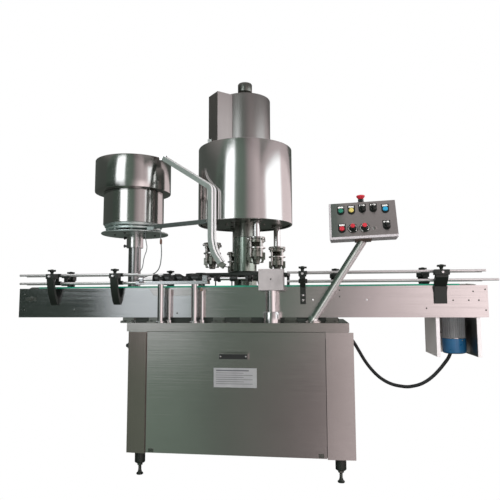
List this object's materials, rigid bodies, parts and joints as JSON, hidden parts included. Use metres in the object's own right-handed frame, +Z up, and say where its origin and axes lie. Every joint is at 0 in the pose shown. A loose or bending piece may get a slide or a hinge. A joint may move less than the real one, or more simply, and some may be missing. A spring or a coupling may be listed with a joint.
{
  "type": "rotary capping machine",
  "caption": "Rotary head capping machine on a stainless cabinet, with slat conveyor, bottle guide rails, timing worm, vibratory cap feeder with chute, and control panel.",
  "frame": {"origin": "on the floor, at the middle of the machine's footprint", "axes": "+X along the conveyor from infeed to outfeed, +Y from the operator's side to the back, +Z up"},
  "size_m": [2.518, 1.0356, 2.179],
  "materials": {
    "brushed_steel": "brushed stainless steel",
    "machined_steel": "machined steel",
    "rail_steel": "ground stainless rods in black plastic brackets",
    "black_plastic": "satin black plastic",
    "green_plastic": "green wear-strip plastic",
    "cast_alloy": "painted cast aluminium",
    "cable_black": "black cable sheath",
    "cable_grey": "grey cable sheath",
    "button_green": "gloss green plastic",
    "button_yellow": "gloss yellow plastic",
    "button_blue": "gloss blue plastic",
    "button_red": "gloss red plastic"
  },
  "bodies": {
    "machine_frame": {"table_top": "brushed_steel", "cabinet_shell": "brushed_steel", "foot_front_left": "black_plastic", "foot_front_right": "black_plastic", "foot_rear_left": "black_plastic", "foot_rear_right": "black_plastic", "conveyor_plate_front": "brushed_steel", "conveyor_plate_rear": "brushed_steel", "wear_bed": "green_plastic", "slat_chain": "machined_steel", "guide_rail_front_left": "rail_steel", "guide_rail_rear_left": "rail_steel", "guide_rail_front_right": "rail_steel", "guide_rail_rear_right": "rail_steel", "conveyor_motor": "cast_alloy", "motor_guard": "brushed_steel", "turret_column": "brushed_steel", "bottle_guide": "black_plastic", "main_motor": "cast_alloy", "worm_rest": "brushed_steel", "gearbox_post": "brushed_steel", "feeder_post": "brushed_steel", "panel_box": "brushed_steel", "panel_post": "brushed_steel", "motor_cable": "cable_black", "feeder_lead": "cable_grey", "sensor_lead": "cable_grey"},
    "door": {"cabinet_door": "brushed_steel"},
    "turret": {"turret_sleeve": "brushed_steel", "main_star": "black_plastic"},
    "head_unit": {"drum_cover": "brushed_steel", "top_housing": "brushed_steel", "cam_drum": "machined_steel"},
    "carrier": {"head_carrier": "machined_steel"},
    "infeed_star_wheel": {"infeed_star": "black_plastic"},
    "worm": {"timing_worm": "black_plastic"},
    "cardan": {"cardan_shaft": "brushed_steel"},
    "drive_roller": {"drive_shaft": "machined_steel"},
    "idler_roller": {"idler_shaft": "machined_steel"},
    "feeder": {"feeder_drive": "brushed_steel", "cap_chute": "brushed_steel"},
    "bowl": {"feeder_bowl": "brushed_steel"},
    "spindle_unit_1": {"spindle_1": "brushed_steel"},
    "head_1": {"capping_head_1": "machined_steel"},
    "spindle_unit_2": {"spindle_2": "brushed_steel"},
    "head_2": {"capping_head_2": "machined_steel"},
    "spindle_unit_3": {"spindle_3": "brushed_steel"},
    "head_3": {"capping_head_3": "machined_steel"},
    "spindle_unit_4": {"spindle_4": "brushed_steel"},
    "head_4": {"capping_head_4": "machined_steel"},
    "push_green_cap": {"push_green": "button_green"},
    "push_yellow_cap": {"push_yellow": "button_yellow"},
    "push_blue_cap": {"push_blue": "button_blue"},
    "push_red_cap": {"push_red": "button_red"},
    "selector_mode_cap": {"selector_mode": "black_plastic"},
    "selector_feeder_cap": {"selector_feeder": "black_plastic"},
    "selector_jog_cap": {"selector_jog": "black_plastic"},
    "pot_conveyor_cap": {"pot_conveyor": "black_plastic"},
    "pot_turret_cap": {"pot_turret": "black_plastic"},
    "emergency_stop_cap": {"emergency_stop": "button_red"}
  },
  "joints": [
    {"name": "turret_spin", "type": "hinge", "parent": "machine_frame", "child": "turret", "pos_m": [-0.0424, 0.18679, 0.96], "axis": [0, 0, 1], "continuous": true},
    {"name": "head_unit_lift", "type": "slide", "parent": "machine_frame", "child": "head_unit", "axis": [0, 0, 1], "range_m": [0, 0.08]},
    {"name": "carrier_spin", "type": "hinge", "parent": "head_unit", "child": "carrier", "pos_m": [-0.0424, 0.18679, 1.325], "axis": [0, 0, 1], "continuous": true},
    {"name": "spindle_1_stroke", "type": "slide", "parent": "carrier", "child": "spindle_unit_1", "axis": [0, 0, 1], "range_m": [-0.02, 0.028]},
    {"name": "head_1_spin", "type": "hinge", "parent": "spindle_unit_1", "child": "head_1", "pos_m": [0.13736, 0.27446, 1.128], "axis": [0, 0, 1], "continuous": true},
    {"name": "spindle_2_stroke", "type": "slide", "parent": "carrier", "child": "spindle_unit_2", "axis": [0, 0, 1], "range_m": [-0.002, 0.046]},
    {"name": "head_2_spin", "type": "hinge", "parent": "spindle_unit_2", "child": "head_2", "pos_m": [-0.13007, 0.36654, 1.11], "axis": [0, 0, 1], "continuous": true},
    {"name": "spindle_3_stroke", "type": "slide", "parent": "carrier", "child": "spindle_unit_3", "axis": [0, 0, 1], "range_m": [-0.031, 0.017]},
    {"name": "head_3_spin", "type": "hinge", "parent": "spindle_unit_3", "child": "head_3", "pos_m": [-0.22216, 0.09911, 1.139], "axis": [0, 0, 1], "continuous": true},
    {"name": "spindle_4_stroke", "type": "slide", "parent": "carrier", "child": "spindle_unit_4", "axis": [0, 0, 1], "range_m": [-0.048, 0]},
    {"name": "head_4_spin", "type": "hinge", "parent": "spindle_unit_4", "child": "head_4", "pos_m": [0.04527, 0.00703, 1.156], "axis": [0, 0, 1], "continuous": true},
    {"name": "infeed_star_spin", "type": "hinge", "parent": "machine_frame", "child": "infeed_star_wheel", "pos_m": [-0.2627, -0.01682, 1.007], "axis": [0, 0, 1], "continuous": true},
    {"name": "worm_spin", "type": "hinge", "parent": "machine_frame", "child": "worm", "pos_m": [-0.351, -0.16681, 0.98], "axis": [1, 0, 0], "continuous": true},
    {"name": "cardan_spin", "type": "hinge", "parent": "machine_frame", "child": "cardan", "pos_m": [-0.051, -0.18832, 0.979], "axis": [0.9785, -0.2062, -0.0096], "continuous": true},
    {"name": "drive_roller_spin", "type": "hinge", "parent": "machine_frame", "child": "drive_roller", "pos_m": [1.12, -0.11682, 0.879], "axis": [0, 1, 0], "continuous": true},
    {"name": "idler_roller_spin", "type": "hinge", "parent": "machine_frame", "child": "idler_roller", "pos_m": [-1.162, -0.11682, 0.879], "axis": [0, 1, 0], "continuous": true},
    {"name": "door_tilt", "type": "hinge", "parent": "machine_frame", "child": "door", "pos_m": [-0.0345, -0.25882, 0.115], "axis": [1, 0, 0], "range_deg": [0, 30]},
    {"name": "feeder_height", "type": "slide", "parent": "machine_frame", "child": "feeder", "axis": [0, 0, 1], "range_m": [0, 0.05]},
    {"name": "bowl_twist", "type": "hinge", "parent": "feeder", "child": "bowl", "pos_m": [-0.749, 0.21718, 1.528], "axis": [0, 0, 1], "range_deg": [-1.5, 1.5], "stiffness_Nm_per_rad": 2000},
    {"name": "push_green_press", "type": "slide", "parent": "machine_frame", "child": "push_green_cap", "axis": [0.0582, 0.897, -0.4382], "range_m": [0, 0.0025], "stiffness_N_per_m": 600},
    {"name": "push_yellow_press", "type": "slide", "parent": "machine_frame", "child": "push_yellow_cap", "axis": [0.0582, 0.897, -0.4382], "range_m": [0, 0.0025], "stiffness_N_per_m": 600},
    {"name": "push_blue_press", "type": "slide", "parent": "machine_frame", "child": "push_blue_cap", "axis": [0.0582, 0.897, -0.4382], "range_m": [0, 0.0025], "stiffness_N_per_m": 600},
    {"name": "push_red_press", "type": "slide", "parent": "machine_frame", "child": "push_red_cap", "axis": [0.0582, 0.897, -0.4382], "range_m": [0, 0.0025], "stiffness_N_per_m": 600},
    {"name": "selector_mode_turn", "type": "hinge", "parent": "machine_frame", "child": "selector_mode_cap", "pos_m": [0.5909, -0.44092, 1.27608], "axis": [0.0582, 0.897, -0.4382], "range_deg": [-45, 45]},
    {"name": "selector_feeder_turn", "type": "hinge", "parent": "machine_frame", "child": "selector_feeder_cap", "pos_m": [0.63982, -0.4434, 1.2775], "axis": [0.0582, 0.897, -0.4382], "range_deg": [-45, 45]},
    {"name": "selector_jog_turn", "type": "hinge", "parent": "machine_frame", "child": "selector_jog_cap", "pos_m": [0.6921, -0.4895, 1.19006], "axis": [0.0582, 0.897, -0.4382], "range_deg": [-45, 45]},
    {"name": "pot_conveyor_turn", "type": "hinge", "parent": "machine_frame", "child": "pot_conveyor_cap", "pos_m": [0.54437, -0.48334, 1.18308], "axis": [0.0582, 0.897, -0.4382], "range_deg": [0, 270]},
    {"name": "pot_turret_turn", "type": "hinge", "parent": "machine_frame", "child": "pot_turret_cap", "pos_m": [0.59628, -0.48597, 1.18459], "axis": [0.0582, 0.897, -0.4382], "range_deg": [0, 270]},
    {"name": "emergency_stop_press", "type": "slide", "parent": "machine_frame", "child": "emergency_stop_cap", "axis": [0.0289, -0.0015, -0.9996], "range_m": [0, 0.0025]}
  ],
  "couplings": [
    {"joint": "carrier_spin", "follows": "turret_spin", "ratio": 1},
    {"joint": "head_1_spin", "follows": "turret_spin", "ratio": 3},
    {"joint": "head_2_spin", "follows": "turret_spin", "ratio": 3},
    {"joint": "head_3_spin", "follows": "turret_spin", "ratio": 3},
    {"joint": "head_4_spin", "follows": "turret_spin", "ratio": 3},
    {"joint": "infeed_star_spin", "follows": "turret_spin", "ratio": -2},
    {"joint": "worm_spin", "follows": "turret_spin", "ratio": 4},
    {"joint": "cardan_spin", "follows": "turret_spin", "ratio": 4},
    {"joint": "idler_roller_spin", "follows": "drive_roller_spin", "ratio": 1}
  ]
}
